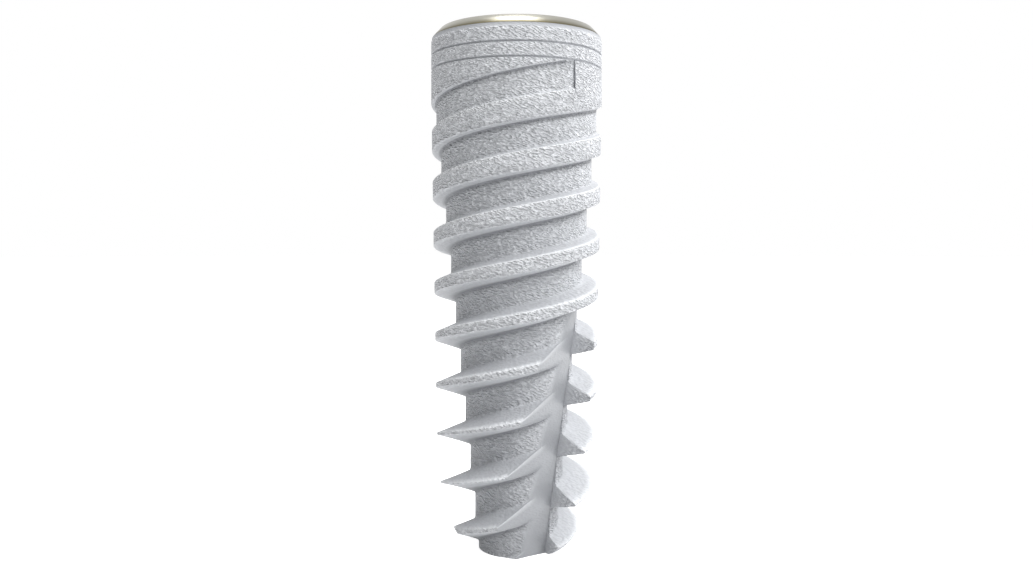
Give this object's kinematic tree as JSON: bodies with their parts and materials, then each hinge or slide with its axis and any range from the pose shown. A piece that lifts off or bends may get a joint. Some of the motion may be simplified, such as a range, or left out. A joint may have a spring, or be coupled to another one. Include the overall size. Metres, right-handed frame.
{
  "type": "dental implant",
  "caption": "Tapered titanium dental implant with a hexagon socket in its platform, a blasted collar, an outer thread that deepens towards the apex, and cutting flutes.",
  "frame": {"origin": "centre of the flat apex, on the axis", "axes": "+Z along the axis, from the apex up to the platform; -Y towards the camera of the picture"},
  "size_m": [0.0038, 0.0038, 0.0115],
  "materials": {
    "blasted_titanium": "grit-blasted and etched titanium alloy, matt"
  },
  "bodies": {
    "root": {"implant_fixture": "blasted_titanium"}
  },
  "joints": []
}
